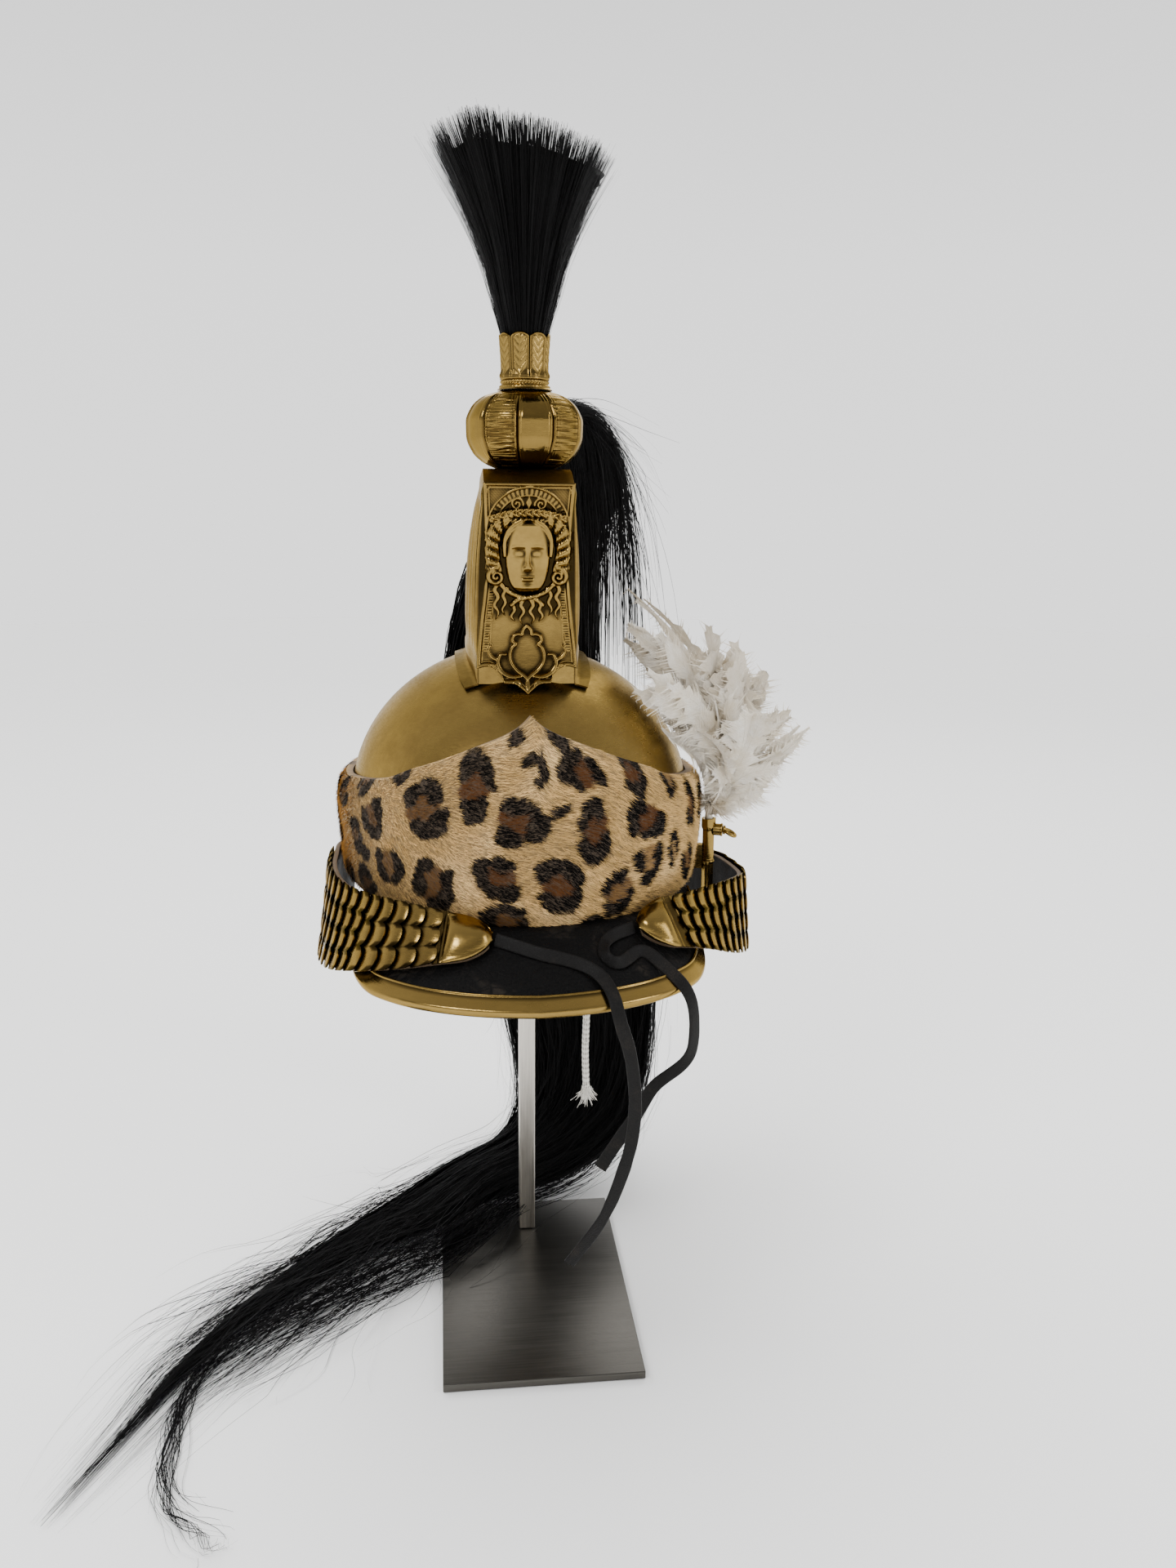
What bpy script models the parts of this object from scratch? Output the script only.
"""Dragoon helmet of brass, with a leopard hide turban and horsehair, on a plain steel stand.

Metres, +Z up. The origin is on the helmet's middle plane at the underside of the stand's plate,
level with the post, and the front of the helmet faces -Y. Angles round the helmet are counted
from the front, positive to +X.
"""

import math
from collections import namedtuple

import bmesh
import bpy
import numpy as np

# Stand
STAND_X = 0.0035
PLATE_WIDTH = 0.100
PLATE_DEPTH = 0.160
PLATE_BEHIND_POST = 0.025
PLATE_THICKNESS = 0.004
POST_SIDE = 0.009
PAD_RADIUS = 0.018
PAD_THICKNESS = 0.010
PAD_CLEARANCE = 0.0010

# Gaps between pieces
GAP = 0.0003
CURVE_GAP = 0.00035
WELD = 0.000001

# Skull
SKULL_HALF_WIDTH = 0.090
SKULL_HALF_LENGTH = 0.110
SKULL_RISE = 0.080
SKULL_SIDE = 0.039
SKULL_DRAW_IN = 0.0025
SKULL_WALL = 0.0012
RIM_Z = 0.230
SPRING_Z = RIM_Z + SKULL_SIDE
AROUND = 36

# Turban
TURBAN_THICKNESS = 0.0065
TURBAN_SEAT = 0.0009
TURBAN_FRONT_HEIGHT = 0.0945

# Peak
PEAK_REACH = 0.155
PEAK_DROP = 0.0245
PEAK_ROOT = 0.010
PEAK_THICKNESS = 0.0022
PEAK_INSET = 0.0015
EDGE_BAND = 0.008
EDGE_UNDER = 0.005
EDGE_METAL = 0.0007
EDGE_LIP = 0.0018

# Crest
CREST_HEIGHT = 0.1695
CREST_HALF_WIDTH = 0.0285
CREST_METAL = 0.001
CREST_FLANGE = 0.006
PLATE_HALF_WIDTH = 0.0245
PLATE_METAL = 0.001
PLATE_TOP_Z = 0.4325
PLATE_FOOT_Z = 0.3325
MASK_RELIEF = 0.0035

# Ball, socket and tuft
BALL_RADIUS = 0.028
BALL_HEIGHT = 0.0365
BALL_Y = -0.045
BALL_METAL = 0.001
BALL_LOBES = 10
BALL_SWELL = (0.970, 1.008, 1.008)
BALL_TURN = 7.0
BALL_NECK_RADIUS = 0.008
SOCKET_RADIUS = 0.0112
SOCKET_HEIGHT = 0.0255
SOCKET_WALL = 0.001
SOCKET_PETALS = 8
SOCKET_TURN = -15.0
PETAL_NOTCH = 0.0022
TUFT_HEIGHT = 0.113
TUFT_HALF_WIDTH = 0.047
TUFT_HALF_DEPTH = 0.040
TUFT_LOCKS = 10
TUFT_SLANT = 0.16

# Mane
MANE_ROOT_WIDTH = 0.012
MANE_ROOT_HEIGHT = 0.010
MANE_WIDTH = 0.102
MANE_DEPTH = 0.030
MANE_LOBES = 8

# Chin scales
STRAP_WIDTH = 0.046
STRAP_THICKNESS = 0.0022
STRAP_STANDOFF = 0.0245
STRAP_LOOK = 0.002
BACKING_SHARE = 0.94
SCALE_METAL = 0.0006
SCALE_ROWS = {"left": 15, "right": 13}
SCALE_OVERLAP = 0.0018
SCALE_SCALLOP = 0.0032
SCALE_SPARE = 0.0003
SCALE_START = 0.0015
LOBE_WIDTH = 0.0115
END_PLATE_LENGTH = 0.024
END_PLATE_DOME = 0.0042
END_PLATE_PAST = 0.0015
END_COLLAR = {"left": 0.14, "right": 0.30}
ROSETTE_RADIUS = 0.017
ROSETTE_HEIGHT = 0.0065
ROSETTE_PLACE = 0.0153

# Laces and the drawstring
LACE_THICKNESS = 0.003
LINER_CORD_DIAMETER = 0.0036
PIN_RADIUS = 0.0025
PIN_LENGTH = 0.0075

# Plume holder, its wing screw and the plume
HOLDER_ANGLE = 71.0
HOLDER_STANDOFF = 0.00663
HOLDER_RADIUS = 0.0031
HOLDER_BORE = 0.0025
HOLDER_LENGTH = 0.046
HOLDER_DROP = 0.0155
BRACKET_WIDTH = 0.005
BRACKET_RISE = 0.003
BRACKET_HEIGHT = 0.013
SCREW_RISE = 0.0245
SCREW_RADIUS = 0.0013
SCREW_CLEARANCE = 0.0001
BOSS_RADIUS = 0.0032
BOSS_BOTTOM = 0.0012
BOSS_LENGTH = 0.0045
SCREW_COLLAR_RADIUS = 0.0024
SCREW_COLLAR_LENGTH = 0.0012
SCREW_RING_RADIUS = 0.0032
SCREW_RING_WIRE = 0.0009
SCREW_TILT = 29.0
PLUME_LENGTH = 0.100
PLUME_STEM_RADIUS = 0.0020
PLUME_STEM_DEPTH = 0.020
PLUME_KNOT_RISE = 0.0045
PLUME_ROOT = 0.005

Colour = namedtuple("Colour", "rgb metallic roughness")
COLOURS = {
    "brass": Colour((0.62, 0.44, 0.15), 1.0, 0.28),
    "hide": Colour((0.58, 0.44, 0.25), 0.0, 0.85),
    "black_leather": Colour((0.018, 0.018, 0.020), 0.0, 0.55),
    "horsehair": Colour((0.008, 0.008, 0.009), 0.0, 0.5),
    "feather": Colour((0.80, 0.77, 0.70), 0.0, 0.8),
    "cord": Colour((0.74, 0.70, 0.66), 0.0, 0.9),
    "steel": Colour((0.30, 0.29, 0.28), 1.0, 0.42),
    "post_steel": Colour((0.62, 0.60, 0.57), 1.0, 0.38),
}

TurbanTop = namedtuple("TurbanTop", "angle height")
TURBAN_TOP = (
    TurbanTop(0, 1.00),
    TurbanTop(5, 0.95),
    TurbanTop(10, 0.915),
    TurbanTop(18, 0.87),
    TurbanTop(30, 0.795),
    TurbanTop(40, 0.735),
    TurbanTop(50, 0.665),
    TurbanTop(70, 0.60),
    TurbanTop(90, 0.56),
    TurbanTop(180, 0.53),
)

# The turban's outer side: height from bottom to top, and how far it stands off the skull
TurbanSide = namedtuple("TurbanSide", "height stand")
TURBAN_SIDE = (
    TurbanSide(0.00, 0.62),
    TurbanSide(0.07, 0.90),
    TurbanSide(0.70, 1.00),
    TurbanSide(0.93, 0.88),
    TurbanSide(1.00, 0.55),
)

PeakRow = namedtuple("PeakRow", "angle reach drop")
PEAK_OUTLINE = (
    PeakRow(0.0, 1.000, 1.00),
    PeakRow(11.5, 0.987, 1.00),
    PeakRow(16.6, 0.978, 1.00),
    PeakRow(21.7, 0.966, 1.00),
    PeakRow(28.0, 0.937, 1.02),
    PeakRow(33.5, 0.900, 1.06),
    PeakRow(39.2, 0.845, 1.08),
    PeakRow(43.5, 0.800, 1.06),
    PeakRow(47.7, 0.756, 1.00),
    PeakRow(56.0, 0.688, 0.75),
    PeakRow(63.2, 0.645, 0.42),
)

# Front plate from foot to top: height up the plate, forward place as a share of the skull's
# half-length, and half-width as a share of the plate's
PlateRow = namedtuple("PlateRow", "height forward half_width")
PLATE_PROFILE = (
    PlateRow(0.00, 0.609, 1.00),
    PlateRow(0.12, 0.548, 1.00),
    PlateRow(0.32, 0.527, 0.93),
    PlateRow(0.58, 0.562, 0.83),
    PlateRow(0.82, 0.635, 0.84),
    PlateRow(1.00, 0.718, 0.87),
)

# Forms raised on the front plate, on both sides where they lie off the middle: place and
# half-size as shares of the plate's half-width and height, rise as a share of the mask's, and
# the share of the half-size that is raised, so that 1 is a full dome and less is a ring
Relief = namedtuple("Relief", "form across up half_width half_height rise wall")
PLATE_RELIEF = (
    Relief("face", 0.00, 0.585, 0.43, 0.165, 1.00, 1.0),
    Relief("nose", 0.00, 0.577, 0.10, 0.075, 1.25, 1.0),
    Relief("diadem", 0.00, 0.775, 0.60, 0.045, 0.63, 1.0),
    Relief("hair", 0.61, 0.600, 0.21, 0.170, 0.60, 1.0),
    Relief("arch", 0.00, 0.800, 0.82, 0.180, 0.20, 0.15),
    Relief("side border", 0.72, 0.270, 0.09, 0.190, 0.20, 1.0),
    Relief("leaf", 0.00, 0.200, 0.24, 0.100, 0.26, 0.40),
    Relief("scroll", 0.43, 0.160, 0.22, 0.055, 0.26, 0.40),
)
PLATE_FOOT_TOP = 0.17

# Lower edge of the front plate: share of the half-width, share of the plate's height
FootRow = namedtuple("FootRow", "across height")
PLATE_FOOT = (
    FootRow(0.00, 0.000),
    FootRow(0.10, 0.022),
    FootRow(0.27, 0.048),
    FootRow(0.46, 0.050),
    FootRow(0.52, 0.090),
    FootRow(0.80, 0.130),
    FootRow(1.00, 0.118),
)

# Crest stations from front to back: place of the foot round the skull's profile in degrees,
# ridge as shares of the skull's half-length and of the crest's height, half-widths as shares
CrestRow = namedtuple("CrestRow", "foot ridge_y ridge_z foot_half ridge_half")
CREST_STATIONS = (
    CrestRow(59, -0.7060, 0.960, 0.86, 0.735),
    CrestRow(66, -0.5500, 1.000, 0.95, 0.73),
    CrestRow(77, -0.3700, 1.000, 1.00, 0.70),
    CrestRow(90, -0.0900, 0.978, 1.00, 0.62),
    CrestRow(104, 0.2300, 0.915, 0.97, 0.54),
    CrestRow(118, 0.5000, 0.785, 0.92, 0.47),
    CrestRow(131, 0.7100, 0.610, 0.84, 0.40),
    CrestRow(142, 0.8500, 0.435, 0.74, 0.34),
    CrestRow(152, 0.9500, 0.285, 0.60, 0.30),
)

# Crest wall from foot to ridge: share of the height, and share of the way from the foot's
# half-width to the ridge's
WallRow = namedtuple("WallRow", "height narrowing")
CREST_WALL = (
    WallRow(0.00, 0.00),
    WallRow(0.30, 0.03),
    WallRow(0.56, 0.16),
    WallRow(0.82, 0.55),
    WallRow(1.00, 1.00),
)

# Turned profiles: height share and radius share
Turned = namedtuple("Turned", "height radius")
BALL_PROFILE = (
    Turned(0.00, 0.46),
    Turned(0.08, 0.68),
    Turned(0.22, 0.88),
    Turned(0.42, 0.985),
    Turned(0.60, 0.99),
    Turned(0.78, 0.90),
    Turned(0.92, 0.70),
    Turned(1.00, 0.42),
)
BALL_INSIDE = (
    Turned(0.12, 0.64),
    Turned(0.50, 0.95),
    Turned(0.90, 0.60),
)
SOCKET_PROFILE = (
    Turned(0.00, 1.08),
    Turned(0.06, 1.05),
    Turned(0.10, 0.97),
    Turned(0.24, 1.05),
    Turned(0.36, 0.98),
    Turned(1.00, 1.06),
)
ROSETTE_PROFILE = (
    Turned(0.00, 1.00),
    Turned(0.28, 1.00),
    Turned(0.42, 0.90),
    Turned(0.34, 0.80),
    Turned(0.70, 0.55),
    Turned(0.92, 0.30),
)
HOLDER_PROFILE = (
    Turned(0.00, 0.90),
    Turned(0.04, 1.15),
    Turned(0.08, 1.00),
    Turned(0.46, 1.00),
    Turned(0.49, 1.15),
    Turned(0.52, 1.00),
    Turned(0.86, 1.00),
    Turned(0.90, 1.22),
    Turned(1.00, 1.22),
)
# Tuft: height share, how far the hair has spread from the neck to the top, and how deep the
# locks are cut
TuftRow = namedtuple("TuftRow", "height spread cut")
TUFT_PROFILE = (
    TuftRow(0.00, 0.000, 0.00),
    TuftRow(0.24, 0.005, 0.00),
    TuftRow(0.34, 0.090, 0.03),
    TuftRow(0.49, 0.230, 0.05),
    TuftRow(0.66, 0.430, 0.07),
    TuftRow(0.84, 0.700, 0.09),
    TuftRow(1.00, 0.955, 0.10),
)

# Mane rows: place as shares of the skull's half-length (x, y) and of the rim's height (z), where
# a z past 1 goes on from the rim as a share of the crest's top above it, width and depth as
# shares, turn of the width in plan from +X in degrees
ManeRow = namedtuple("ManeRow", "x y z width depth turn")
MANE_ROWS = (
    ManeRow(0.02, 0.50, 1.8990, 0.26, 0.32, 0),
    ManeRow(0.08, 0.70, 1.8825, 0.50, 0.60, 0),
    ManeRow(0.14, 0.91, 1.7722, 0.72, 0.78, -2),
    ManeRow(0.11, 1.05, 1.6067, 0.84, 0.78, -4),
    ManeRow(0.08, 1.15, 1.3861, 0.94, 0.76, -6),
    ManeRow(0.14, 1.20, 1.1434, 0.98, 0.80, -7),
    ManeRow(0.24, 1.19, 0.900, 1.00, 0.86, -8),
    ManeRow(0.34, 1.13, 0.680, 1.00, 0.92, -9),
    ManeRow(0.41, 1.01, 0.460, 0.96, 0.96, -12),
    ManeRow(0.42, 0.84, 0.290, 0.86, 0.98, -18),
    ManeRow(0.34, 0.65, 0.165, 0.78, 0.86, -36),
    ManeRow(0.13, 0.46, 0.088, 0.64, 0.68, -48),
    ManeRow(-0.20, 0.26, 0.070, 0.55, 0.48, -52),
    ManeRow(-0.50, 0.00, 0.050, 0.54, 0.34, -58),
    ManeRow(-0.67, -0.10, 0.034, 0.50, 0.32, -60),
    ManeRow(-0.87, -0.26, 0.0255, 0.44, 0.27, -58),
    ManeRow(-1.08, -0.45, 0.0215, 0.34, 0.24, -52),
    ManeRow(-1.29, -0.65, 0.0185, 0.24, 0.21, -45),
    ManeRow(-1.45, -0.85, 0.0160, 0.165, 0.18, -40),
    ManeRow(-1.58, -1.03, 0.0140, 0.105, 0.15, -36),
    ManeRow(-1.72, -1.32, 0.0110, 0.055, 0.11, -28),
    ManeRow(-1.95, -1.83, 0.0080, 0.018, 0.07, -24),
)
WISP_ROWS = (
    ManeRow(-1.40, -0.78, 0.0155, 0.060, 0.12, -40),
    ManeRow(-1.52, -1.05, 0.0125, 0.050, 0.11, -14),
    ManeRow(-1.55, -1.40, 0.0105, 0.040, 0.09, 0),
    ManeRow(-1.50, -1.75, 0.0085, 0.028, 0.07, 12),
    ManeRow(-1.30, -1.98, 0.0070, 0.020, 0.06, 45),
    ManeRow(-1.23, -2.04, 0.0065, 0.014, 0.05, 50),
)
FORELOCK_ROWS = (
    ManeRow(0.02, 0.05, 1.9873, 0.15, 0.45, -50),
    ManeRow(0.09, 0.12, 2.0921, 0.21, 0.52, -48),
    ManeRow(0.20, 0.22, 2.1528, 0.27, 0.56, -42),
    ManeRow(0.30, 0.35, 2.1141, 0.32, 0.58, -32),
    ManeRow(0.345, 0.48, 2.0094, 0.36, 0.60, -16),
    ManeRow(0.325, 0.62, 1.8715, 0.36, 0.60, -4),
    ManeRow(0.28, 0.77, 1.7281, 0.34, 0.54, 4),
)

# Chin strap from behind the rosette to the tip: angle from the front, stand off the turban,
# drop of the middle below the rim and width, as shares of the strap's sizes, and how far the
# lower edge leans out in degrees
StrapRow = namedtuple("StrapRow", "angle stand drop width lean")
STRAP_ROWS = {
    "left": (
        StrapRow(105.5, 0.01, 0.18, 0.62, 0),
        StrapRow(97.0, 0.015, 0.21, 0.92, 0),
        StrapRow(90.0, 0.10, 0.23, 1.00, 0),
        StrapRow(82.0, 0.18, 0.25, 1.00, 3),
        StrapRow(74.0, 0.31, 0.26, 1.00, 6),
        StrapRow(66.0, 0.44, 0.26, 1.00, 9),
        StrapRow(58.0, 0.57, 0.25, 0.97, 13),
        StrapRow(50.0, 0.67, 0.22, 0.92, 18),
        StrapRow(42.0, 0.73, 0.17, 0.85, 25),
        StrapRow(35.7, 0.76, 0.12, 0.79, 31),
        StrapRow(27.6, 0.67, 0.08, 0.69, 38),
        StrapRow(19.0, 0.50, 0.06, 0.56, 46),
        StrapRow(10.1, 0.31, 0.055, 0.48, 53),
    ),
    "right": (
        StrapRow(105.5, 0.01, 0.22, 0.62, 0),
        StrapRow(97.0, 0.015, 0.25, 0.92, 0),
        StrapRow(90.0, 0.09, 0.30, 1.00, 0),
        StrapRow(87.0, 0.11, 0.33, 1.00, 0),
        StrapRow(84.5, 0.24, 0.35, 1.00, 0),
        StrapRow(80.0, 0.58, 0.38, 1.00, 0),
        StrapRow(71.0, 1.00, 0.41, 0.95, 3),
        StrapRow(61.5, 0.93, 0.34, 0.89, 8),
        StrapRow(53.0, 0.80, 0.26, 0.80, 14),
        StrapRow(46.0, 0.70, 0.19, 0.71, 20),
        StrapRow(38.9, 0.62, 0.13, 0.62, 29),
        StrapRow(32.0, 0.54, 0.075, 0.57, 41),
        StrapRow(24.7, 0.33, 0.065, 0.48, 56),
    ),
}
SIDES = {"left": -1.0, "right": 1.0}

# Routes of the cords, chosen by hand
LACE_LEFT_ROUTE = (
    (-0.0188, -0.1216, 0.2274),
    (-0.0068, -0.1272, 0.2249),
    (0.0023, -0.1310, 0.2228),
    (0.0115, -0.1325, 0.2212),
    (0.0195, -0.1347, 0.2191),
    (0.0260, -0.1380, 0.2168),
    (0.0303, -0.1440, 0.2133),
    (0.0324, -0.1505, 0.2098),
    (0.0336, -0.1549, 0.2058),
    (0.0346, -0.1565, 0.1995),
    (0.0392, -0.1562, 0.1853),
    (0.0422, -0.1550, 0.1639),
    (0.0423, -0.1520, 0.1462),
    (0.0398, -0.1500, 0.1288),
    (0.0300, -0.1470, 0.0983),
    (0.0138, -0.1450, 0.0736),
)
LACE_RIGHT_ROUTE = (
    (0.0470, -0.1094, 0.2270),
    (0.0424, -0.1130, 0.2270),
    (0.0345, -0.1182, 0.2262),
    (0.0301, -0.1245, 0.2234),
    (0.0306, -0.1305, 0.2198),
    (0.0367, -0.1327, 0.2170),
    (0.0433, -0.1262, 0.2190),
    (0.0493, -0.1203, 0.2208),
    (0.0547, -0.1225, 0.2172),
    (0.0600, -0.1275, 0.2130),
    (0.0650, -0.1315, 0.2092),
    (0.0690, -0.1345, 0.2050),
    (0.0714, -0.1352, 0.1990),
    (0.0731, -0.1330, 0.1865),
    (0.0726, -0.1290, 0.1695),
    (0.0652, -0.1265, 0.1602),
    (0.0555, -0.1260, 0.1530),
    (0.0482, -0.1240, 0.1375),
    (0.0388, -0.1220, 0.1218),
    (0.0313, -0.1200, 0.1081),
)
LINER_CORD_ROUTE = (
    (0.0265, -0.0960, 0.2370),
    (0.0265, -0.0962, 0.2180),
    (0.0268, -0.0964, 0.1980),
    (0.0266, -0.0962, 0.1780),
    (0.0262, -0.0960, 0.1580),
    (0.0268, -0.0962, 0.1390),
)

# Feather locks of the plume: tip seen from the knot and how far the middle of the lock is pushed
# out, as shares of the plume's length, and the lock's width as a share of it
PlumeLock = namedtuple("PlumeLock", "x y z out width")
PLUME_LOCKS = (
    PlumeLock(0.54, 0.02, 0.45, 0.00, 0.13),
    PlumeLock(0.41, -0.10, 0.55, 0.02, 0.17),
    PlumeLock(0.27, 0.08, 0.66, 0.03, 0.20),
    PlumeLock(0.04, -0.08, 0.81, 0.14, 0.26),
    PlumeLock(-0.14, 0.06, 0.88, 0.22, 0.25),
    PlumeLock(-0.33, 0.12, 0.98, 0.30, 0.22),
    PlumeLock(-0.42, 0.30, 1.25, 0.33, 0.16),
    PlumeLock(-0.28, -0.20, 0.70, 0.40, 0.17),
    PlumeLock(0.17, -0.08, 0.03, 0.10, 0.16),
)
LockRow = namedtuple("LockRow", "along width")
LOCK_SHAPE = (
    LockRow(0.00, 0.40),
    LockRow(0.40, 1.00),
    LockRow(0.75, 0.90),
    LockRow(1.00, 0.20),
)

LEVEL = np.array((0.0, 0.0, 1.0))
PARTS = None
CUTTERS = None


def clear_scene():
    for old in list(bpy.data.objects):
        bpy.data.objects.remove(old, do_unlink=True)


def add_collection(name):
    collection = bpy.data.collections.new(name)
    bpy.context.scene.collection.children.link(collection)
    return collection


def material(name):
    made = bpy.data.materials.get(name)
    if made is None:
        made = bpy.data.materials.new(name)
        made.use_nodes = True
        shader = made.node_tree.nodes["Principled BSDF"]
        colour = COLOURS[name]
        shader.inputs["Base Color"].default_value = (*colour.rgb, 1.0)
        shader.inputs["Metallic"].default_value = colour.metallic
        shader.inputs["Roughness"].default_value = colour.roughness
        made.diffuse_color = (*colour.rgb, 1.0)
    return made


def add_object(name, mesh, colour, smooth_angle=40.0):
    mesh.materials.clear()
    mesh.materials.append(material(colour))
    mesh.shade_smooth()
    mesh.set_sharp_from_angle(angle=math.radians(smooth_angle))
    piece = bpy.data.objects.new(name, mesh)
    PARTS.objects.link(piece)
    return piece


def mesh_from(bm, name):
    bmesh.ops.recalc_face_normals(bm, faces=bm.faces)
    mesh = bpy.data.meshes.new(name)
    bm.to_mesh(mesh)
    bm.free()
    return mesh


def loft_mesh(name, loops, closed=False):
    """A skin over closed loops with equal counts of points; the ends are capped."""
    bm = bmesh.new()
    rings = [[bm.verts.new(point) for point in loop] for loop in loops]
    spans = len(rings) if closed else len(rings) - 1
    for i in range(spans):
        near, far = rings[i], rings[(i + 1) % len(rings)]
        for j in range(len(near)):
            k = (j + 1) % len(near)
            bm.faces.new((near[j], near[k], far[k], far[j]))
    if not closed:
        bm.faces.new(rings[0])
        bm.faces.new(rings[-1])
    return mesh_from(bm, name)


def shell_mesh(name, front, back):
    """A closed sheet between two grids of points of the same size."""
    bm = bmesh.new()
    sides = [[[bm.verts.new(p) for p in row] for row in grid] for grid in (front, back)]
    rows, columns = len(front), len(front[0])
    for side in sides:
        for i in range(rows - 1):
            for j in range(columns - 1):
                bm.faces.new((side[i][j], side[i][j + 1], side[i + 1][j + 1], side[i + 1][j]))
    border = [(0, j) for j in range(columns)]
    border += [(i, columns - 1) for i in range(1, rows)]
    border += [(rows - 1, j) for j in range(columns - 2, -1, -1)]
    border += [(i, 0) for i in range(rows - 2, 0, -1)]
    outer, inner = sides
    for (i, j), (k, m) in zip(border, border[1:] + border[:1]):
        bm.faces.new((outer[i][j], outer[k][m], inner[k][m], inner[i][j]))
    return mesh_from(bm, name)


def evaluated_mesh(piece):
    bpy.context.view_layer.update()
    depsgraph = bpy.context.evaluated_depsgraph_get()
    return bpy.data.meshes.new_from_object(piece.evaluated_get(depsgraph))


def fuse(name, meshes, colour):
    """One body from overlapping closed meshes."""
    base = bpy.data.objects.new(name + "_base", meshes[0])
    PARTS.objects.link(base)
    for mesh in meshes[1:]:
        CUTTERS.objects.link(bpy.data.objects.new(mesh.name, mesh))
    union = base.modifiers.new("union", "BOOLEAN")
    union.operation = "UNION"
    union.solver = "EXACT"
    union.operand_type = "COLLECTION"
    union.collection = CUTTERS
    mesh = evaluated_mesh(base)
    for used in [base] + list(CUTTERS.objects):
        bpy.data.objects.remove(used, do_unlink=True)
    return add_object(name, cut_to_triangles(mesh), colour)


def cut_to_triangles(mesh):
    """The mesh in triangles, cut in the way that leaves each edge between two of them."""
    source = mesh.copy()
    for way in ("BEAUTY", "EAR_CLIP"):
        bm = bmesh.new()
        bm.from_mesh(source)
        bmesh.ops.remove_doubles(bm, verts=bm.verts, dist=WELD)
        bmesh.ops.dissolve_degenerate(bm, edges=bm.edges, dist=WELD)
        bmesh.ops.triangulate(bm, faces=bm.faces, ngon_method=way)
        closed = all(len(edge.link_faces) == 2 for edge in bm.edges)
        bm.to_mesh(mesh)
        bm.free()
        if closed:
            break
    return mesh


def table(rows, key, value, at):
    """Straight-line reading of a table's column at a value of its key column."""
    keys = [getattr(row, key) for row in rows]
    values = [getattr(row, value) for row in rows]
    return float(np.interp(at, keys, values))


def smooth_line(points, count):
    """Points spread evenly along a smooth curve through the given points."""
    points = np.array(points, float)
    padded = np.vstack([2 * points[0] - points[1], points, 2 * points[-1] - points[-2]])
    fine = []
    for i in range(1, len(padded) - 2):
        a, b, c, d = padded[i - 1 : i + 3]
        for t in np.linspace(0, 1, 24, endpoint=False):
            fine.append(
                0.5 * (2 * b + (c - a) * t + (2 * a - 5 * b + 4 * c - d) * t**2
                       + (3 * b - a - 3 * c + d) * t**3)
            )
    fine.append(points[-1])
    fine = np.array(fine)
    along = np.concatenate([[0], np.cumsum(np.linalg.norm(np.diff(fine[:, :3], axis=0), axis=1))])
    at = np.linspace(0, along[-1], count)
    return np.stack([np.interp(at, along, fine[:, k]) for k in range(fine.shape[1])], axis=1)


def unit(vector):
    vector = np.array(vector, float)
    return vector / np.linalg.norm(vector)


def skull_radii(z, offset=0.0):
    """Half-width and half-length of the skull at a height, grown by an offset."""
    if z <= SPRING_Z:
        drawn = SKULL_DRAW_IN * (SPRING_Z - z) / SKULL_SIDE
        return SKULL_HALF_WIDTH - drawn + offset, SKULL_HALF_LENGTH - drawn + offset
    share = math.sqrt(max(0.0, 1 - ((z - SPRING_Z) / (SKULL_RISE + offset)) ** 2))
    return (SKULL_HALF_WIDTH + offset) * share, (SKULL_HALF_LENGTH + offset) * share


def skull_top(x, y, offset=0.0):
    """Height of the dome over a point in plan, grown by an offset."""
    across = (x / (SKULL_HALF_WIDTH + offset)) ** 2 + (y / (SKULL_HALF_LENGTH + offset)) ** 2
    return SPRING_Z + (SKULL_RISE + offset) * math.sqrt(max(0.0, 1 - across))


def plan_radius(radii, angle):
    """Distance from the axis to an ellipse in plan, at an angle in degrees from the front."""
    turn = math.radians(angle)
    return 1 / math.hypot(math.sin(turn) / radii[0], math.cos(turn) / radii[1])


def from_front(radius, angle, z):
    turn = math.radians(angle)
    return np.array((radius * math.sin(turn), -radius * math.cos(turn), z))


def ellipse_ring(radii, z, count=AROUND):
    turns = [2 * math.pi * k / count for k in range(count)]
    return [(radii[0] * math.sin(t), -radii[1] * math.cos(t), z) for t in turns]


def make_stand():
    bpy.ops.mesh.primitive_cube_add(size=1)
    plate = bpy.context.object
    plate.name = "stand_base"
    for collection in list(plate.users_collection):
        collection.objects.unlink(plate)
    PARTS.objects.link(plate)
    plate.scale = (PLATE_WIDTH, PLATE_DEPTH, PLATE_THICKNESS)
    plate.location = (STAND_X, PLATE_BEHIND_POST - PLATE_DEPTH / 2, PLATE_THICKNESS / 2)
    plate.data.transform(plate.matrix_basis)
    plate.matrix_basis.identity()
    plate.data.materials.append(material("steel"))

    under_pad = SPRING_Z + SKULL_RISE - SKULL_WALL - PAD_THICKNESS
    corners = [(math.sin(t), math.cos(t)) for t in np.arange(8) * math.pi / 4]
    square = [(x / max(abs(x), abs(y)), y / max(abs(x), abs(y))) for x, y in corners]
    half = POST_SIDE / 2
    loops = [
        [(STAND_X + x * half, y * half, z) for x, y in square]
        for z in (PLATE_THICKNESS + GAP, under_pad - PAD_THICKNESS / 2)
    ]
    loops.append([(STAND_X + x * PAD_RADIUS, y * PAD_RADIUS, under_pad) for x, y in corners])
    for radius in (PAD_RADIUS, PAD_RADIUS / 2):
        rim = [(STAND_X + x * radius, y * radius) for x, y in corners]
        loops.append([(x, y, skull_top(x, y, -SKULL_WALL) - PAD_CLEARANCE) for x, y in rim])
    add_object("stand_post", loft_mesh("stand_post", loops), "post_steel", 25)


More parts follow.
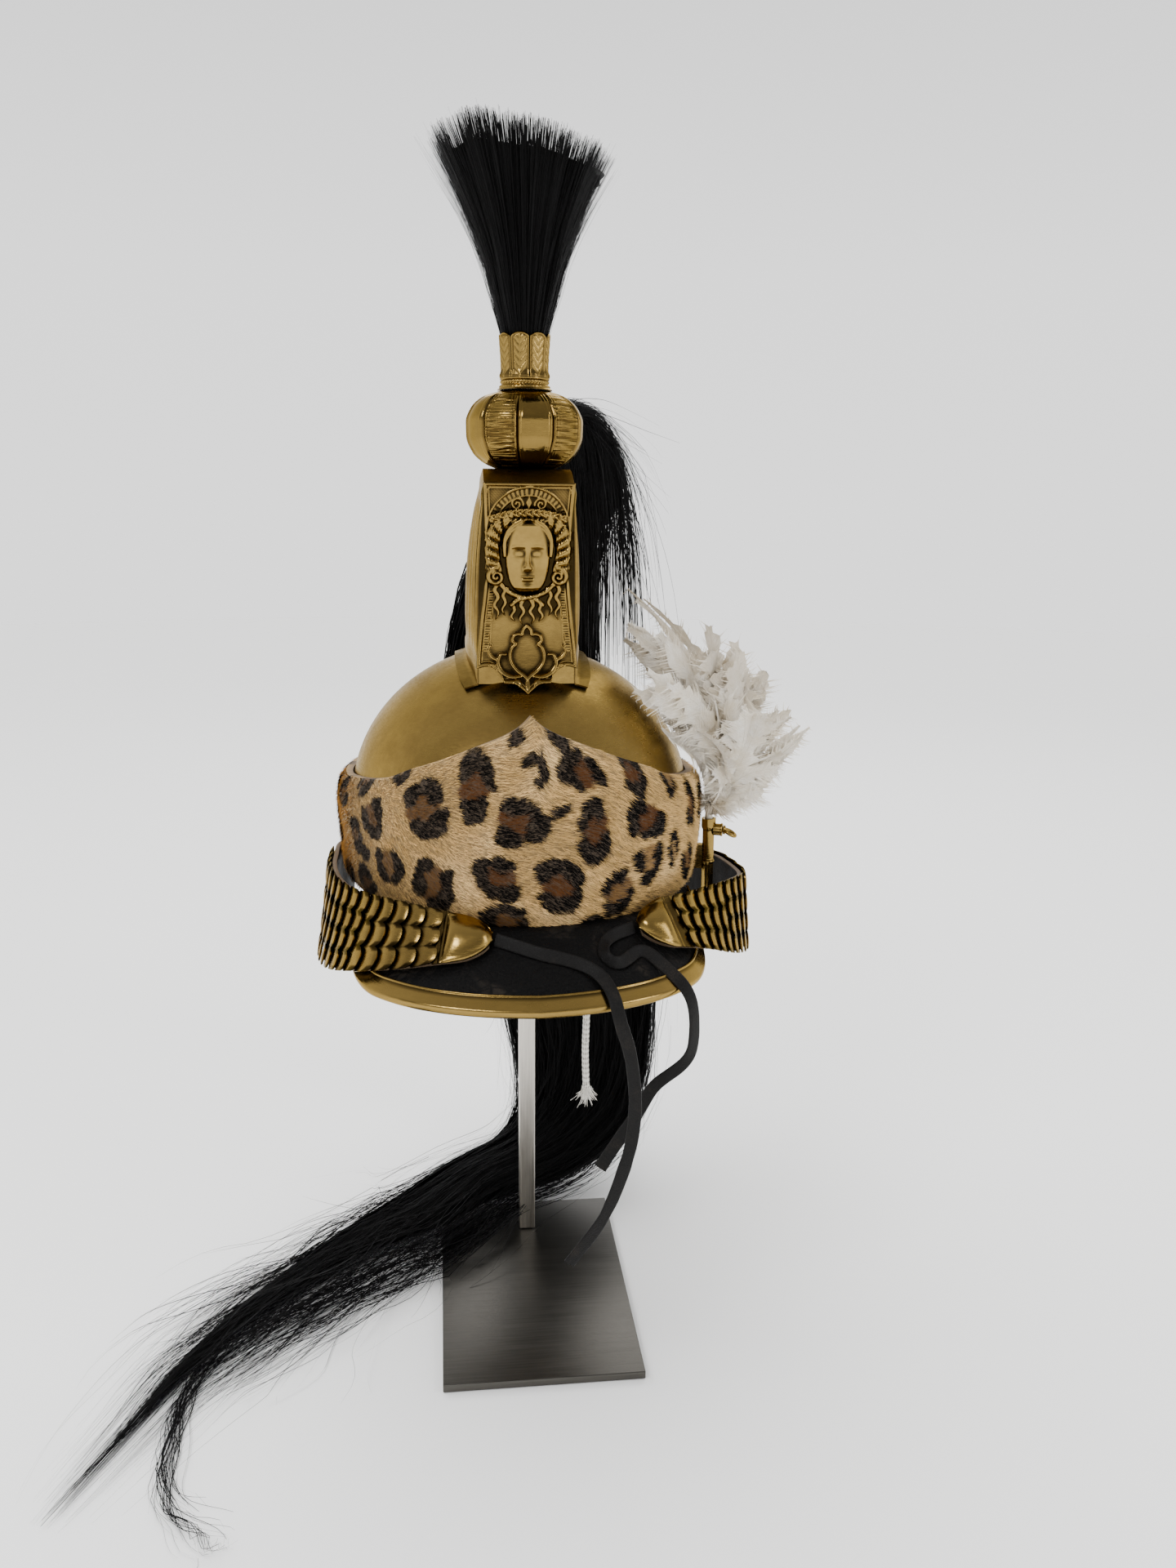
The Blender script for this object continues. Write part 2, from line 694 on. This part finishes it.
def make_skull():
    bm = bmesh.new()
    heights = [RIM_Z, SPRING_Z]
    heights += [SPRING_Z + SKULL_RISE * math.sin(math.radians(b)) for b in (15, 30, 45, 60, 75)]
    rings = [[bm.verts.new(p) for p in ellipse_ring(skull_radii(z), z)] for z in heights]
    for near, far in zip(rings, rings[1:]):
        for j in range(AROUND):
            k = (j + 1) % AROUND
            bm.faces.new((near[j], near[k], far[k], far[j]))
    crown = bm.verts.new((0, 0, SPRING_Z + SKULL_RISE))
    for j in range(AROUND):
        bm.faces.new((rings[-1][j], rings[-1][(j + 1) % AROUND], crown))
    skull = add_object("skull", mesh_from(bm, "skull"), "brass", 60)
    wall = skull.modifiers.new("wall", "SOLIDIFY")
    wall.thickness = SKULL_WALL
    wall.offset = -1
    wall.use_even_offset = True


def turban_section(angle):
    """Loop of points across the turban: up the inside, then down the outside."""
    turn = math.radians(angle)
    bottom = RIM_Z + GAP
    away = min(angle, 360 - angle)
    top = bottom + TURBAN_FRONT_HEIGHT * table(TURBAN_TOP, "angle", "height", away)
    steepest = math.asin((top - SPRING_Z) / SKULL_RISE)
    inside = [bottom] + [SPRING_Z + SKULL_RISE * math.sin(steepest * s / 4) for s in range(5)]
    places = [(z, TURBAN_SEAT) for z in inside]
    for row in reversed(TURBAN_SIDE):
        z = bottom + (top - bottom) * row.height
        places.append((z, TURBAN_SEAT + row.stand * TURBAN_THICKNESS))
    loop = []
    for z, offset in places:
        half_width, half_length = skull_radii(z, offset)
        loop.append((half_width * math.sin(turn), -half_length * math.cos(turn), z))
    return loop


def make_turban():
    loops = [turban_section(360 * k / AROUND) for k in range(AROUND)]
    add_object("turban", loft_mesh("turban", loops, closed=True), "hide")


def peak_line(angle):
    """Inner, root and outer radius of the peak, and its drop, at an angle from the front."""
    away = abs(angle)
    inner = plan_radius(skull_radii(RIM_Z, -PEAK_INSET), angle)
    outer = PEAK_REACH * table(PEAK_OUTLINE, "angle", "reach", away)
    root = inner + min(PEAK_ROOT, 0.25 * (outer - inner))
    drop = PEAK_DROP * table(PEAK_OUTLINE, "angle", "drop", away)
    return inner, root, outer, drop


def peak_angles():
    one_side = [row.angle for row in PEAK_OUTLINE]
    return [-a for a in reversed(one_side[1:])] + one_side


def edge_widths(angle):
    """Width of the brass channel on the peak and under it, and the peak's run from its root."""
    _, root, outer, drop = peak_line(angle)
    run = math.hypot(outer - root, drop)
    return min(EDGE_BAND, 0.6 * run), min(EDGE_UNDER, 0.4 * run), run


def make_peak():
    upper, lower = [], []
    for angle in peak_angles():
        inner, root, outer, drop = peak_line(angle)
        band, _, run = edge_widths(angle)
        steep = math.atan2(drop, outer - root)
        level = RIM_Z - GAP
        upper_row = [from_front(inner, angle, level)]
        lower_row = [from_front(inner, angle, level - PEAK_THICKNESS)]
        for share in (0.0, 1 - band / run, 1.0):
            radius = root + (outer - root) * share
            height = level - drop * share
            upper_row.append(from_front(radius, angle, height))
            radius -= PEAK_THICKNESS * math.sin(steep)
            height -= PEAK_THICKNESS * math.cos(steep)
            lower_row.append(from_front(radius, angle, height))
        upper.append(upper_row)
        lower.append(lower_row)
    add_object("peak", shell_mesh("peak", upper, lower), "black_leather")


def make_peak_edge():
    half = PEAK_THICKNESS / 2 + GAP + CURVE_GAP
    full = half + EDGE_METAL
    loops = []
    for angle in peak_angles():
        _, root, outer, drop = peak_line(angle)
        band, under, _ = edge_widths(angle)
        steep = math.atan2(drop, outer - root)
        along = np.array((math.cos(steep), -math.sin(steep)))
        up = np.array((math.sin(steep), math.cos(steep)))
        middle = np.array((outer, RIM_Z - GAP - drop)) - up * PEAK_THICKNESS / 2
        section = (
            (-band, full), (GAP, full), (GAP + 0.7 * EDGE_LIP, 0.72 * full),
            (GAP + EDGE_LIP, 0), (GAP + 0.7 * EDGE_LIP, -0.72 * full), (GAP, -full),
            (-under, -full), (-under, -half), (GAP, -half), (GAP, half), (-band, half),
        )
        places = [middle + along * u + up * n for u, n in section]
        loops.append([from_front(radius, angle, z) for radius, z in places])
    add_object("peak_edge", loft_mesh("peak_edge", loops), "brass")


def plate_forward(z):
    """Y of the front plate's face at a height."""
    share = (z - PLATE_FOOT_Z) / (PLATE_TOP_Z - PLATE_FOOT_Z)
    return -SKULL_HALF_LENGTH * table(PLATE_PROFILE, "height", "forward", share)


def plate_half_width(z):
    """Half-width of the front plate at a height."""
    share = (z - PLATE_FOOT_Z) / (PLATE_TOP_Z - PLATE_FOOT_Z)
    return PLATE_HALF_WIDTH * table(PLATE_PROFILE, "height", "half_width", share)


def crest_foot(foot, ridge, x, offset):
    """Where the line from the ridge to the foot meets the skull, grown by an offset, at x."""
    half_width, half_length = SKULL_HALF_WIDTH + offset, SKULL_HALF_LENGTH + offset
    rise = SKULL_RISE + offset
    start = np.array((ridge[0] / half_length, (ridge[1] - SPRING_Z) / rise))
    step = np.array(((foot[0] - ridge[0]) / half_length, (foot[1] - ridge[1]) / rise))
    a = step @ step
    b = 2 * start @ step
    c = start @ start + (x / half_width) ** 2 - 1
    t = (-b - math.sqrt(b * b - 4 * a * c)) / (2 * a)
    return ridge + (foot - ridge) * t


def crest_station(index):
    row = CREST_STATIONS[index]
    turn = math.radians(row.foot)
    foot = np.array((-SKULL_HALF_LENGTH * math.cos(turn), SPRING_Z + SKULL_RISE * math.sin(turn)))
    ridge = np.array(
        (row.ridge_y * SKULL_HALF_LENGTH, SPRING_Z + row.ridge_z * CREST_HEIGHT)
    )
    foot_half = row.foot_half * CREST_HALF_WIDTH
    ridge_half = row.ridge_half * CREST_HALF_WIDTH
    on_skull = 2 * GAP + CURVE_GAP + CREST_METAL
    bow = max(0.0, 1 - index / 2)
    half = []
    flange = foot_half + CREST_FLANGE
    half.append((flange, *crest_foot(foot, ridge, flange, on_skull)))
    for wall in CREST_WALL:
        x = foot_half + (ridge_half - foot_half) * wall.narrowing
        seat = crest_foot(foot, ridge, foot_half, on_skull)
        y, z = seat + (ridge - seat) * wall.height
        behind_plate = plate_forward(z) + PLATE_METAL + GAP
        y += bow * max(0.0, behind_plate - y)
        x += bow * min(0.0, plate_half_width(z) - x)
        half.append((x, y, z))
    half.append((0.55 * ridge_half, half[-1][1], half[-1][2]))
    middle = (0.0, half[-1][1], half[-1][2])
    mirrored = [(-x, y, z) for x, y, z in half]
    return mirrored + [middle] + half[::-1]


def make_crest_body():
    bm = bmesh.new()
    rows = [[bm.verts.new(p) for p in crest_station(i)] for i in range(len(CREST_STATIONS))]
    for near, far in zip(rows, rows[1:]):
        for j in range(len(near) - 1):
            bm.faces.new((near[j], near[j + 1], far[j + 1], far[j]))
    mesh = bpy.data.meshes.new("crest_body")
    bm.to_mesh(mesh)
    bm.free()
    body = add_object("crest_body", mesh, "brass")
    wall = body.modifiers.new("wall", "SOLIDIFY")
    wall.thickness = CREST_METAL
    wall.offset = -1
    wall.use_even_offset = True


def bump(distance, reach):
    """A round hump: 1 at the middle, 0 from the reach outward."""
    share = min(1.0, abs(distance) / reach)
    return math.sqrt(1 - share * share)


def plate_relief(x, up):
    """Relief of the front plate at x and at a share of its height."""
    tallest = 0.0
    for row in PLATE_RELIEF:
        sideways = (abs(x) / PLATE_HALF_WIDTH - row.across) / row.half_width
        away = math.hypot(sideways, (up - row.up) / row.half_height)
        tallest = max(tallest, row.rise * MASK_RELIEF * bump(away - 1 + row.wall, row.wall))
    return tallest


def make_front_plate():
    columns, straight_rows, foot_rows = 16, 17, 4
    front, back = [], []
    for i in range(foot_rows + straight_rows + 1):
        front_row, back_row = [], []
        for j in range(columns + 1):
            across = 2 * j / columns - 1
            low = table(PLATE_FOOT, "across", "height", abs(across))
            if i <= foot_rows:
                up = low + (PLATE_FOOT_TOP - low) * i / foot_rows
            else:
                up = PLATE_FOOT_TOP + (1 - PLATE_FOOT_TOP) * (i - foot_rows) / straight_rows
            z = PLATE_FOOT_Z + (PLATE_TOP_Z - PLATE_FOOT_Z) * up
            half = PLATE_HALF_WIDTH * table(PLATE_PROFILE, "height", "half_width", up)
            x = across * half
            y = plate_forward(z)
            relief = plate_relief(x, up) if abs(across) < 1 else 0.0
            front_row.append((x, y - relief, z))
            back_row.append((x, y + PLATE_METAL, z))
        front.append(front_row)
        back.append(back_row)
    mesh = shell_mesh("crest_front_plate", front, back)
    bm = bmesh.new()
    bm.from_mesh(mesh)
    flat = [f for f in bm.faces if f.normal.y > 0.5]
    edges = {e for f in flat for e in f.edges if all(g in flat for g in e.link_faces)}
    edges = [e for e in edges if e.calc_face_angle(0) < math.radians(0.5)]
    bmesh.ops.dissolve_edges(bm, edges=edges, use_verts=True)
    bm.to_mesh(mesh)
    bm.free()
    add_object("crest_front_plate", mesh, "brass", 30)


def top_of_crest():
    return SPRING_Z + CREST_HEIGHT


def make_ball():
    count = BALL_LOBES * len(BALL_SWELL)
    base = top_of_crest() + GAP
    loops = []
    for k in range(count):
        turn = math.radians(BALL_TURN - 180 / BALL_LOBES) + 2 * math.pi * k / count
        loop = [(BALL_NECK_RADIUS, 0.0)]
        for row in BALL_PROFILE:
            lobed = BALL_SWELL[k % len(BALL_SWELL)] if row.radius > 0.5 else 1.0
            loop.append((BALL_RADIUS * row.radius * lobed, row.height * BALL_HEIGHT))
        loop.append((BALL_NECK_RADIUS, BALL_HEIGHT))
        for row in reversed(BALL_INSIDE):
            radius = BALL_RADIUS * row.radius - BALL_METAL
            height = BALL_METAL + row.height * (BALL_HEIGHT - 2 * BALL_METAL)
            loop.append((radius, height))
        loops.append(
            [(r * math.sin(turn), BALL_Y - r * math.cos(turn), base + z) for r, z in loop]
        )
    add_object("crest_ball", loft_mesh("crest_ball", loops, closed=True), "brass")


def socket_bore():
    return 0.97 * SOCKET_RADIUS - SOCKET_WALL


def make_socket():
    count = SOCKET_PETALS * 4
    base = top_of_crest() + 2 * GAP + BALL_HEIGHT
    inner = socket_bore()
    loops = []
    for k in range(count):
        notch = (1.0, 0.25, 0.0, 0.25)[k % 4] * PETAL_NOTCH
        turn = math.radians(SOCKET_TURN - 180 / SOCKET_PETALS) + 2 * math.pi * k / count
        loop = []
        for row in SOCKET_PROFILE:
            crease = 0.97 if k % 4 == 0 and row.height > 0.4 else 1.0
            height = row.height * SOCKET_HEIGHT - notch * (row.height == 1.0)
            loop.append((SOCKET_RADIUS * row.radius * crease, height))
        loop.append((inner, SOCKET_HEIGHT - notch))
        loop.append((inner, 0.0))
        loops.append(
            [(r * math.sin(turn), BALL_Y - r * math.cos(turn), base + z) for r, z in loop]
        )
    add_object("tuft_socket", loft_mesh("tuft_socket", loops, closed=True), "brass")


def make_tuft():
    base = top_of_crest() + 3 * GAP + BALL_HEIGHT
    neck = socket_bore() - GAP - CURVE_GAP
    count = TUFT_LOCKS * 2
    peak_x = -0.5 * TUFT_HALF_WIDTH
    loops = []
    for row in TUFT_PROFILE:
        loop = []
        for k in range(count):
            turn = 2 * math.pi * k / count
            lobe = 1 + row.cut * (0.5 if k % 2 else -1.0)
            x = (neck + (TUFT_HALF_WIDTH - neck) * row.spread) * lobe * math.sin(turn)
            y = -(neck + (TUFT_HALF_DEPTH - neck) * row.spread) * lobe * math.cos(turn)
            z = row.height * TUFT_HEIGHT
            if row.height == 1.0:
                z -= TUFT_SLANT * abs(x - peak_x) + 0.02 * TUFT_HEIGHT * (k % 2)
            loop.append((x, BALL_Y + y, base + z))
        loops.append(loop)
    inner = []
    for x, y, z in loops[-1]:
        x /= 2
        top = base + 0.985 * TUFT_HEIGHT - TUFT_SLANT * abs(x - peak_x)
        inner.append((x, (y + BALL_Y) / 2, top))
    loops.append(inner)
    add_object("tuft", loft_mesh("tuft", loops), "horsehair")


def hair_loops(rows, lobes):
    """Lobed sections along a lock, square to its run."""
    above = SKULL_SIDE + CREST_HEIGHT
    places = []
    for row in rows:
        z = min(row.z, 1.0) * RIM_Z + max(row.z - 1.0, 0.0) * above
        places.append(np.array((row.x * SKULL_HALF_LENGTH, row.y * SKULL_HALF_LENGTH, z)))
    loops = []
    for i, row in enumerate(rows):
        run = unit(places[min(i + 1, len(rows) - 1)] - places[max(i - 1, 0)])
        turn = math.radians(row.turn)
        wide = np.array((math.cos(turn), math.sin(turn), 0.0))
        wide = unit(wide - run * (wide @ run))
        deep = np.cross(run, wide)
        half_width = row.width * MANE_WIDTH / 2
        half_depth = row.depth * MANE_DEPTH / 2
        loop = []
        for k in range(2 * lobes):
            around = math.pi * k / lobes
            lobe = 1.0 if k % 2 else 0.88
            side = wide * half_width * math.cos(around) + deep * half_depth * math.sin(around)
            loop.append(places[i] + side * lobe)
        loops.append(loop)
    return loops


def root_loops():
    """Low strip of hair roots along the ridge of the crest."""
    half = MANE_ROOT_WIDTH / 2
    loops = []
    for row in CREST_STATIONS[3:]:
        y = row.ridge_y * SKULL_HALF_LENGTH
        z = SPRING_Z + row.ridge_z * CREST_HEIGHT + GAP + CURVE_GAP
        tall = MANE_ROOT_HEIGHT
        loops.append(
            [(-half, y, z), (half, y, z), (half * 0.8, y, z + 0.7 * tall), (0, y, z + tall),
             (-half * 0.8, y, z + 0.7 * tall)]
        )
    return loops


def make_mane():
    meshes = [loft_mesh("mane_body", hair_loops(MANE_ROWS, MANE_LOBES))]
    meshes.append(loft_mesh("mane_root", root_loops()))
    meshes.append(loft_mesh("forelock", hair_loops(FORELOCK_ROWS, 4)))
    meshes.append(loft_mesh("wisp", hair_loops(WISP_ROWS, 3)))
    fuse("mane", meshes, "horsehair")


class Strap:
    """Middle line of one chin strap with its directions, from the rosette to the tip."""

    def __init__(self, side):
        self.sign = SIDES[side]
        radii = skull_radii(RIM_Z + 0.5 * SKULL_SIDE, TURBAN_SEAT + TURBAN_THICKNESS)
        points = []
        for row in STRAP_ROWS[side]:
            radius = plan_radius(radii, row.angle) + row.stand * STRAP_STANDOFF
            z = RIM_Z - row.drop * STRAP_WIDTH
            place = from_front(radius, row.angle * self.sign, z)
            points.append((*place, row.width * STRAP_WIDTH, math.radians(row.lean)))
        self.line = smooth_line(points, 240)
        steps = np.linalg.norm(np.diff(self.line[:, :3], axis=0), axis=1)
        self.along = np.concatenate([[0], np.cumsum(steps)])
        self.length = self.along[-1]

    def at(self, along):
        """Place, outward direction in plan, width and lean at a distance along the strap."""
        place = np.array([np.interp(along, self.along, column) for column in self.line.T])
        run = [
            np.interp(along + STRAP_LOOK, self.along, column)
            - np.interp(along - STRAP_LOOK, self.along, column)
            for column in self.line.T[:2]
        ]
        out = unit((-run[1], run[0], 0.0))
        if out @ place[:3] < 0:
            out = -out
        return place[:3], out, place[3], place[4]

    def point(self, along, across, off):
        """A point at a distance along, a share of the half-width across, off the outer face."""
        place, out, width, lean = self.at(min(along, self.length))
        up = LEVEL * math.cos(lean) - out * math.sin(lean)
        face = out * math.cos(lean) + LEVEL * math.sin(lean)
        past = unit(self.line[-1, :3] - self.line[-4, :3]) * max(0.0, along - self.length)
        return place + past + face * (STRAP_THICKNESS / 2 + off) + up * across * width / 2


def make_straps():
    for side in SIDES:
        strap = Strap(side)
        make_backing(side, strap)
        make_scales(side, strap)
        make_end_plate(side, strap)
        make_rosette(side, strap)


def make_backing(side, strap):
    """Leather under the scales, pared a little thinner under the end plate."""
    count = 22
    loops = []
    for k in range(count + 1):
        along = strap.length * k / count
        share = (along - strap.length + END_PLATE_LENGTH) / (END_PLATE_LENGTH + END_PLATE_PAST)
        half = BACKING_SHARE * tip_width(share)
        face = -CURVE_GAP if share > 0 else 0.0
        corners = ((-half, -STRAP_THICKNESS), (half, -STRAP_THICKNESS), (half, face), (-half, face))
        loops.append([strap.point(along, across, off) for across, off in corners])
    add_object(f"strap_{side}", loft_mesh(f"strap_{side}", loops), "black_leather")


def scale_rows(side, strap):
    """Distances along the strap where the rows begin, and the distance between them."""
    start = ROSETTE_PLACE + ROSETTE_RADIUS + SCALE_START
    end = strap.length - END_PLATE_LENGTH
    pitch = (end - start) / SCALE_ROWS[side]
    return [start + pitch * i for i in range(SCALE_ROWS[side])], pitch


def make_scales(side, strap):
    starts, pitch = scale_rows(side, strap)
    slope = (SCALE_METAL + GAP + SCALE_SPARE) / pitch
    for i, start in enumerate(starts):
        lobes = round(strap.at(start)[2] / LOBE_WIDTH)
        outer, inner = [], []
        for k in range(2 * lobes + 1):
            across = k / lobes - 1
            valley = (k + i) % 2 == 0
            reach = pitch + SCALE_OVERLAP - SCALE_SCALLOP * valley
            places = [(start + length, across, GAP + CURVE_GAP + slope * length)
                      for length in (0.0, reach)]
            outer.append([strap.point(a, b, off + SCALE_METAL) for a, b, off in places])
            inner.append([strap.point(a, b, off) for a, b, off in places])
        name = f"scale_{side}_{i + 1:02d}"
        add_object(name, shell_mesh(name, outer, inner), "brass", 30)


def tip_width(share):
    """Width of the rounded end at a share of the end plate's length."""
    rounding = max(0.0, (share - 0.35) / 0.65)
    return math.sqrt(max(0.05, 1 - rounding**2))


def make_end_plate(side, strap):
    starts, pitch = scale_rows(side, strap)
    begin = starts[-1] + pitch
    length = strap.length - begin + END_PLATE_PAST
    collar = END_COLLAR[side]
    outer, inner = [], []
    for share in (0.0, collar, 0.5, 0.75, 0.92, 1.0):
        narrow = tip_width(share)
        swell = max(0.0, (share - collar) / (1 - collar))
        outer_row, inner_row = [], []
        for side_share in np.linspace(-1, 1, 6):
            dome = END_PLATE_DOME * (1 - side_share**2) * (1 - (2 * swell - 1) ** 4)
            off = GAP + CURVE_GAP + dome
            place = (begin + share * length, side_share * narrow)
            outer_row.append(strap.point(*place, off + SCALE_METAL))
            inner_row.append(strap.point(*place, off))
        outer.append(outer_row)
        inner.append(inner_row)
    name = f"end_plate_{side}"
    add_object(name, shell_mesh(name, outer, inner), "brass", 30)


def turned_loops(rows, base, axis, count):
    """Rings round an axis, one for each pair of a distance along it and a radius."""
    axis = unit(axis)
    guide = LEVEL if abs(axis[2]) < 0.9 else np.array((0.0, 1.0, 0.0))
    first = unit(np.cross(guide, axis))
    second = np.cross(axis, first)
    turns = np.arange(count) * 2 * math.pi / count
    return [
        [base + axis * along + radius * (math.cos(t) * first + math.sin(t) * second) for t in turns]
        for along, radius in rows
    ]


def make_rosette(side, strap):
    place, out = strap.at(ROSETTE_PLACE)[:2]
    seat = place + out * (STRAP_THICKNESS / 2 + GAP + 2 * CURVE_GAP)
    rows = [(row.height * ROSETTE_HEIGHT, row.radius * ROSETTE_RADIUS) for row in ROSETTE_PROFILE]
    name = f"rosette_{side}"
    add_object(name, loft_mesh(name, turned_loops(rows, seat, out, 16)), "brass", 30)


def make_tube(name, route, diameter, colour, spacing):
    """A round cord along a smooth curve through the route's points."""
    length = float(np.sum(np.linalg.norm(np.diff(np.array(route), axis=0), axis=1)))
    count = max(4, round(length / spacing))
    curve = bpy.data.curves.new(name, "CURVE")
    curve.dimensions = "3D"
    curve.bevel_depth = diameter / 2
    curve.bevel_resolution = 2
    curve.use_fill_caps = True
    spline = curve.splines.new("POLY")
    line = smooth_line(route, count)
    spline.points.add(len(line) - 1)
    for point, place in zip(spline.points, line):
        point.co = (*place, 1.0)
    curve.materials.append(material(colour))
    PARTS.objects.link(bpy.data.objects.new(name, curve))


def make_cords():
    make_tube("lace_left", LACE_LEFT_ROUTE, LACE_THICKNESS, "black_leather", 0.009)
    make_tube("lace_right", LACE_RIGHT_ROUTE, LACE_THICKNESS, "black_leather", 0.009)
    make_tube("liner_cord", LINER_CORD_ROUTE, LINER_CORD_DIAMETER, "cord", 0.009)


def make_cord_pin():
    x, y, top = LINER_CORD_ROUTE[0]
    half_width, half_length = skull_radii(top + PIN_RADIUS, -SKULL_WALL)
    wall_y = -half_length * math.sqrt(1 - (x / half_width) ** 2)
    inward = -unit((x / half_width**2, wall_y / half_length**2, 0.0))
    sideways = np.cross(LEVEL, inward)
    seat = np.array((x, wall_y, top + GAP + PIN_RADIUS)) + inward * (GAP + CURVE_GAP)
    seat -= sideways * (sideways @ (seat - np.array((x, y, seat[2]))))
    rows = ((0.0, PIN_RADIUS), (PIN_LENGTH, PIN_RADIUS))
    loops = turned_loops(rows, seat, inward, 10)
    add_object("cord_pin", loft_mesh("cord_pin", loops), "brass", 30)


def turban_radius(z, clearance=0.0):
    """How far the turban's outer side is from the middle of the helmet at the holder."""
    radii = skull_radii(z, TURBAN_SEAT + TURBAN_THICKNESS + clearance)
    return plan_radius(radii, HOLDER_ANGLE)


def holder_distance():
    return turban_radius(RIM_Z + BRACKET_RISE + BRACKET_HEIGHT) + HOLDER_STANDOFF


def holder_axis():
    """Foot of the holder's axis and the direction that its screw points in."""
    foot = from_front(holder_distance(), HOLDER_ANGLE, RIM_Z - HOLDER_DROP)
    return foot, from_front(1.0, HOLDER_ANGLE, 0.0)


def make_holder():
    foot, outward = holder_axis()
    rows = [(row.height * HOLDER_LENGTH, row.radius * HOLDER_RADIUS) for row in HOLDER_PROFILE]
    rows += [(HOLDER_LENGTH, HOLDER_BORE), (0.0, HOLDER_BORE)]
    tube = loft_mesh("tube", turned_loops(rows, foot, LEVEL, 12), closed=True)

    sideways = np.cross(LEVEL, outward)
    loops = []
    reach = holder_distance() - (HOLDER_RADIUS + HOLDER_BORE) / 2
    for z in (RIM_Z + BRACKET_RISE, RIM_Z + BRACKET_RISE + BRACKET_HEIGHT):
        seat = turban_radius(z, GAP + CURVE_GAP)
        corners = ((seat, -1), (reach, -1), (reach, 1), (seat, 1))
        loops.append(
            [outward * r + sideways * s * BRACKET_WIDTH / 2 + LEVEL * z for r, s in corners]
        )
    bracket = loft_mesh("bracket", loops)

    bore = SCREW_RADIUS + SCREW_CLEARANCE
    bottom = HOLDER_RADIUS + BOSS_BOTTOM
    end = HOLDER_RADIUS + BOSS_LENGTH
    start = (HOLDER_RADIUS + HOLDER_BORE) / 2
    rows = ((start, BOSS_RADIUS), (end, BOSS_RADIUS), (end, bore), (bottom, bore))
    seat = foot + LEVEL * (SCREW_RISE + HOLDER_DROP)
    boss = loft_mesh("boss", turned_loops(rows, seat, outward, 12))
    fuse("plume_holder", [tube, bracket, boss], "brass")


def make_screw():
    foot, outward = holder_axis()
    seat = foot + LEVEL * (SCREW_RISE + HOLDER_DROP)
    tip = HOLDER_RADIUS + BOSS_BOTTOM + GAP
    collar = HOLDER_RADIUS + BOSS_LENGTH + GAP
    end = collar + SCREW_COLLAR_LENGTH
    rows = ((tip, SCREW_RADIUS), (collar, SCREW_RADIUS), (collar, SCREW_COLLAR_RADIUS),
            (end, SCREW_COLLAR_RADIUS))
    shank = loft_mesh("shank", turned_loops(rows, seat, outward, 12))

    tilt = math.radians(SCREW_TILT)
    along = outward * math.cos(tilt) - LEVEL * math.sin(tilt)
    across = np.cross(LEVEL, outward)
    up = np.cross(along, across)
    middle = seat + outward * end + along * (SCREW_RING_RADIUS - SCREW_RING_WIRE / 2)
    loops = []
    for t in np.arange(12) * 2 * math.pi / 12:
        spoke = along * math.cos(t) + across * math.sin(t)
        wire = [(math.cos(w), math.sin(w)) for w in np.arange(5) * 2 * math.pi / 5]
        loops.append(
            [
                middle + spoke * (SCREW_RING_RADIUS + SCREW_RING_WIRE * a) + up * SCREW_RING_WIRE * b
                for a, b in wire
            ]
        )
    ring = loft_mesh("ring", loops, closed=True)
    fuse("plume_screw", [shank, ring], "brass")


def make_plume():
    foot, outward = holder_axis()
    knot = foot + LEVEL * (HOLDER_LENGTH + PLUME_KNOT_RISE)
    rows = ((-PLUME_STEM_DEPTH, PLUME_STEM_RADIUS), (0.0, PLUME_STEM_RADIUS))
    meshes = [loft_mesh("stem", turned_loops(rows, knot, LEVEL, 8))]
    for i, lock in enumerate(PLUME_LOCKS):
        start = knot + np.array((0.0, (i / (len(PLUME_LOCKS) - 1) - 0.5) * PLUME_ROOT, 0.0))
        tip = np.array((lock.x, lock.y, lock.z)) * PLUME_LENGTH
        bend = np.array((0.35 * lock.x + lock.out, 0.35 * lock.y, 0.55 * lock.z)) * PLUME_LENGTH
        loops = []
        for row in LOCK_SHAPE:
            t = row.along
            place = start + 2 * t * (1 - t) * bend + t * t * tip
            run = unit((1 - 2 * t) * bend + t * tip)
            deep = unit(np.array((0.0, 1.0, 0.0)) - run * run[1])
            wide = np.cross(run, deep)
            half = row.width * lock.width * PLUME_LENGTH / 2
            turns = np.arange(6) * 2 * math.pi / 6
            loops.append(
                [place + wide * half * math.cos(w) + deep * 0.45 * half * math.sin(w) for w in turns]
            )
        meshes.append(loft_mesh(f"lock_{i}", loops))
    fuse("plume", meshes, "feather")


def main():
    global PARTS, CUTTERS
    clear_scene()
    PARTS = add_collection("dragoon_helmet")
    CUTTERS = add_collection("cutters")
    make_stand()
    make_skull()
    make_turban()
    make_peak()
    make_peak_edge()
    make_crest_body()
    make_front_plate()
    make_ball()
    make_socket()
    make_tuft()
    make_mane()
    make_straps()
    make_cords()
    make_cord_pin()
    make_holder()
    make_screw()
    make_plume()


main()
